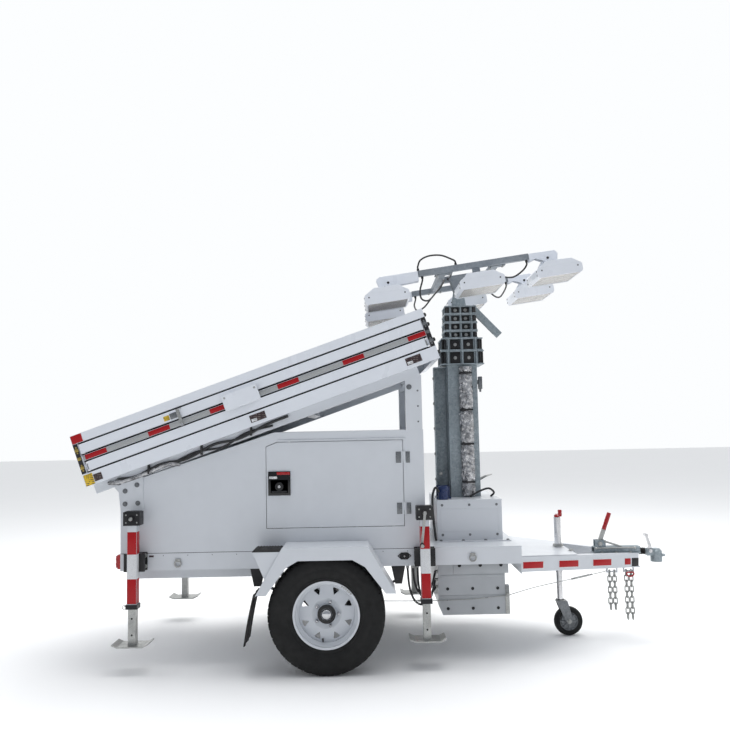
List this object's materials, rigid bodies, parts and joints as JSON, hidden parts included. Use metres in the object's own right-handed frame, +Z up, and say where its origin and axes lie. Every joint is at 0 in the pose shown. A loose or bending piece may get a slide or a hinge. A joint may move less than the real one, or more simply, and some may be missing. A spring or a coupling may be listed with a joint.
{
  "type": "solar light tower trailer",
  "caption": "Towable solar light tower: braked single-axle trailer with battery cabinet, tilted stack of sliding solar panels, telescopic mast and a floodlight head.",
  "frame": {"origin": "on the ground, midway between the rear edge of the panel stack and the nose of the coupler, on the centreline", "axes": "+X forward to the hitch, +Y to the far side, +Z up"},
  "size_m": [4.0159, 1.74, 2.6654],
  "materials": {
    "white_paint": "semi-gloss powder coat",
    "white_alu": "white powder-coated aluminium",
    "galvanised": "hot-dip galvanised",
    "zinc": "zinc plated",
    "grey_paint": "grey coat",
    "black_steel": "black coat",
    "tyre": "matt tread rubber",
    "black_rubber": "matt",
    "battery_case": "moulded",
    "blue_case": "semi-gloss",
    "red_lens": "gloss",
    "red_paint": "gloss coat"
  },
  "bodies": {
    "trailer": {"chassis_frame": "white_paint", "deck_plates": "white_paint", "tongue_frame": "white_paint", "axle_set": "black_steel", "fenders": "white_paint", "mudflaps": "black_rubber", "cabinet_shell": "white_paint", "power_pack": "battery_case", "array_subframe": "grey_paint", "array_cage": "white_alu", "array_top_frame": "white_alu", "jack_tubes": "white_paint", "jack_fittings": "black_steel", "jockey_tube": "zinc", "coupler_body": "galvanised", "mast_base_box": "white_paint", "mast_tube": "galvanised", "mast_post": "galvanised", "winch": "blue_case", "under_deck_box": "grey_paint", "lower_cables": "black_rubber", "tail_lights": "red_lens", "lashing_rings": "zinc"},
    "wheel_near": {"tyre_near": "tyre", "rim_near": "white_paint"},
    "wheel_far": {"tyre_far": "tyre", "rim_far": "white_paint"},
    "door_near": {"door_near": "white_paint"},
    "door_far": {"door_far": "white_paint"},
    "drawer_near": {"drawer_near": "white_alu"},
    "drawer_far": {"drawer_far": "white_alu"},
    "slides_near": {"slides_near": "zinc"},
    "slides_far": {"slides_far": "zinc"},
    "drawer_lock": {"drawer_lock_bar": "zinc"},
    "jack_leg_rear_near": {"jack_leg_rear_near": "zinc"},
    "jack_leg_rear_far": {"jack_leg_rear_far": "zinc"},
    "jack_leg_front_near": {"jack_leg_front_near": "zinc"},
    "jack_leg_front_far": {"jack_leg_front_far": "zinc"},
    "jack_crank": {"jack_crank": "zinc"},
    "jockey_crank": {"jockey_crank": "red_paint"},
    "jockey_stem": {"jockey_stem": "zinc"},
    "jockey_fork": {"jockey_fork": "zinc"},
    "jockey_wheel": {"jockey_wheel": "black_rubber"},
    "coupler_latch": {"coupler_latch": "zinc"},
    "brake_lever": {"brake_lever": "zinc"},
    "chain_rear": {"chain_rear": "zinc"},
    "chain_front": {"chain_front": "zinc"},
    "mast_stage_1": {"mast_stage_1": "galvanised"},
    "mast_stage_2": {"mast_stage_2": "galvanised"},
    "mast_stage_3": {"mast_stage_3": "galvanised"},
    "mast_stage_4": {"mast_stage_4": "galvanised"},
    "mast_stage_5": {"mast_stage_5": "galvanised"},
    "light_head": {"head_frame": "galvanised", "head_cables": "black_rubber"},
    "lamp_near_rear": {"lamp_near_rear": "white_alu"},
    "lamp_near_mid": {"lamp_near_mid": "white_alu"},
    "lamp_near_front": {"lamp_near_front": "white_alu"},
    "lamp_far_rear": {"lamp_far_rear": "white_alu"},
    "lamp_far_mid": {"lamp_far_mid": "white_alu"},
    "lamp_far_front": {"lamp_far_front": "white_alu"}
  },
  "joints": [
    {"name": "wheel_near_spin", "type": "hinge", "parent": "trailer", "child": "wheel_near", "pos_m": [-0.361, -0.7375, 0.359], "axis": [0, 1, 0], "continuous": true},
    {"name": "wheel_far_spin", "type": "hinge", "parent": "trailer", "child": "wheel_far", "pos_m": [-0.361, 0.7375, 0.359], "axis": [0, 1, 0], "continuous": true},
    {"name": "door_near_hinge", "type": "hinge", "parent": "trailer", "child": "door_near", "pos_m": [0.143, -0.606, 1.1], "axis": [0, 0, 1], "range_deg": [0, 110]},
    {"name": "door_far_hinge", "type": "hinge", "parent": "trailer", "child": "door_far", "pos_m": [0.143, 0.606, 1.1], "axis": [0, 0, -1], "range_deg": [0, 110]},
    {"name": "drawer_near_slide", "type": "slide", "parent": "trailer", "child": "drawer_near", "axis": [0, -1, 0], "range_m": [0, 1.1]},
    {"name": "drawer_far_slide", "type": "slide", "parent": "trailer", "child": "drawer_far", "axis": [0, 1, 0], "range_m": [0, 1.1]},
    {"name": "slides_near_slide", "type": "slide", "parent": "trailer", "child": "slides_near", "axis": [0, -1, 0], "range_m": [0, 0.55]},
    {"name": "slides_far_slide", "type": "slide", "parent": "trailer", "child": "slides_far", "axis": [0, 1, 0], "range_m": [0, 0.55]},
    {"name": "drawer_lock_turn", "type": "hinge", "parent": "drawer_near", "child": "drawer_lock", "pos_m": [-1.30458, -0.636, 1.60699], "axis": [0, 1, 0], "range_deg": [0, 90]},
    {"name": "jack_leg_rear_near_drop", "type": "slide", "parent": "trailer", "child": "jack_leg_rear_near", "axis": [0, 0, -1], "range_m": [-0.16, 0.2]},
    {"name": "jack_leg_rear_far_drop", "type": "slide", "parent": "trailer", "child": "jack_leg_rear_far", "axis": [0, 0, -1], "range_m": [-0.16, 0.2]},
    {"name": "jack_leg_front_near_drop", "type": "slide", "parent": "trailer", "child": "jack_leg_front_near", "axis": [0, 0, -1], "range_m": [-0.16, 0.2]},
    {"name": "jack_leg_front_far_drop", "type": "slide", "parent": "trailer", "child": "jack_leg_front_far", "axis": [0, 0, -1], "range_m": [-0.16, 0.2]},
    {"name": "jack_crank_turn", "type": "hinge", "parent": "trailer", "child": "jack_crank", "pos_m": [0.256, -0.69, 0.948], "axis": [0, 1, 0], "range_deg": [-14400, 18000]},
    {"name": "jockey_crank_turn", "type": "hinge", "parent": "trailer", "child": "jockey_crank", "pos_m": [1.25, 0, 0.8], "axis": [0, 0, 1], "range_deg": [-9000, 16200]},
    {"name": "jockey_stem_lift", "type": "slide", "parent": "trailer", "child": "jockey_stem", "axis": [0, 0, 1], "range_m": [-0.1, 0.18]},
    {"name": "jockey_fork_swivel", "type": "hinge", "parent": "jockey_stem", "child": "jockey_fork", "pos_m": [1.25, 0, 0.24], "axis": [0, 0, 1], "continuous": true},
    {"name": "jockey_wheel_spin", "type": "hinge", "parent": "jockey_fork", "child": "jockey_wheel", "pos_m": [1.301, 0, 0.1], "axis": [0, 1, 0], "continuous": true},
    {"name": "coupler_latch_lift", "type": "hinge", "parent": "trailer", "child": "coupler_latch", "pos_m": [1.896, 0, 0.578], "axis": [0, -1, 0], "range_deg": [0, 40]},
    {"name": "brake_lever_pull", "type": "hinge", "parent": "trailer", "child": "brake_lever", "pos_m": [1.543, 0, 0.634], "axis": [0, 1, 0], "range_deg": [0, 55]},
    {"name": "chain_rear_swing", "type": "hinge", "parent": "trailer", "child": "chain_rear", "pos_m": [1.58, -0.14763, 0.46157], "axis": [1, 0, 0], "range_deg": [-40, 40]},
    {"name": "chain_front_swing", "type": "hinge", "parent": "trailer", "child": "chain_front", "pos_m": [1.718, -0.0769, 0.45134], "axis": [1, 0, 0], "range_deg": [-40, 40]},
    {"name": "mast_stage_1_raise", "type": "slide", "parent": "trailer", "child": "mast_stage_1", "axis": [0, 0, 1], "range_m": [0, 1.05]},
    {"name": "mast_stage_2_raise", "type": "slide", "parent": "mast_stage_1", "child": "mast_stage_2", "axis": [0, 0, 1], "range_m": [0, 1.05]},
    {"name": "mast_stage_3_raise", "type": "slide", "parent": "mast_stage_2", "child": "mast_stage_3", "axis": [0, 0, 1], "range_m": [0, 1.05]},
    {"name": "mast_stage_4_raise", "type": "slide", "parent": "mast_stage_3", "child": "mast_stage_4", "axis": [0, 0, 1], "range_m": [0, 1.05]},
    {"name": "mast_stage_5_raise", "type": "slide", "parent": "mast_stage_4", "child": "mast_stage_5", "axis": [0, 0, 1], "range_m": [0, 1.05]},
    {"name": "light_head_tilt", "type": "hinge", "parent": "mast_stage_5", "child": "light_head", "pos_m": [0.593, 0, 2.4565], "axis": [0, 1, 0], "range_deg": [0, 25]},
    {"name": "lamp_near_rear_tilt", "type": "hinge", "parent": "light_head", "child": "lamp_near_rear", "pos_m": [0.04761, -0.4, 2.42217], "axis": [0, 1, 0], "range_deg": [-18, 18]},
    {"name": "lamp_near_mid_tilt", "type": "hinge", "parent": "light_head", "child": "lamp_near_mid", "pos_m": [0.67773, -0.4, 2.50848], "axis": [0, 1, 0], "range_deg": [-25, 25]},
    {"name": "lamp_near_front_tilt", "type": "hinge", "parent": "light_head", "child": "lamp_near_front", "pos_m": [1.18995, -0.4, 2.57864], "axis": [0, 1, 0], "range_deg": [-25, 25]},
    {"name": "lamp_far_rear_tilt", "type": "hinge", "parent": "light_head", "child": "lamp_far_rear", "pos_m": [0.04761, 0.4, 2.42217], "axis": [0, 1, 0], "range_deg": [-18, 18]},
    {"name": "lamp_far_mid_tilt", "type": "hinge", "parent": "light_head", "child": "lamp_far_mid", "pos_m": [0.67773, 0.4, 2.50848], "axis": [0, 1, 0], "range_deg": [-25, 25]},
    {"name": "lamp_far_front_tilt", "type": "hinge", "parent": "light_head", "child": "lamp_far_front", "pos_m": [1.18995, 0.4, 2.57864], "axis": [0, 1, 0], "range_deg": [-25, 25]}
  ],
  "couplings": [
    {"joint": "slides_near_slide", "follows": "drawer_near_slide", "ratio": 0.5},
    {"joint": "slides_far_slide", "follows": "drawer_far_slide", "ratio": 0.5},
    {"joint": "jack_leg_front_near_drop", "follows": "jack_crank_turn", "m_per_rad": 0.0006366},
    {"joint": "jockey_stem_lift", "follows": "jockey_crank_turn", "m_per_rad": 0.0006366},
    {"joint": "mast_stage_2_raise", "follows": "mast_stage_1_raise", "ratio": 1},
    {"joint": "mast_stage_3_raise", "follows": "mast_stage_1_raise", "ratio": 1},
    {"joint": "mast_stage_4_raise", "follows": "mast_stage_1_raise", "ratio": 1},
    {"joint": "mast_stage_5_raise", "follows": "mast_stage_1_raise", "ratio": 1}
  ]
}
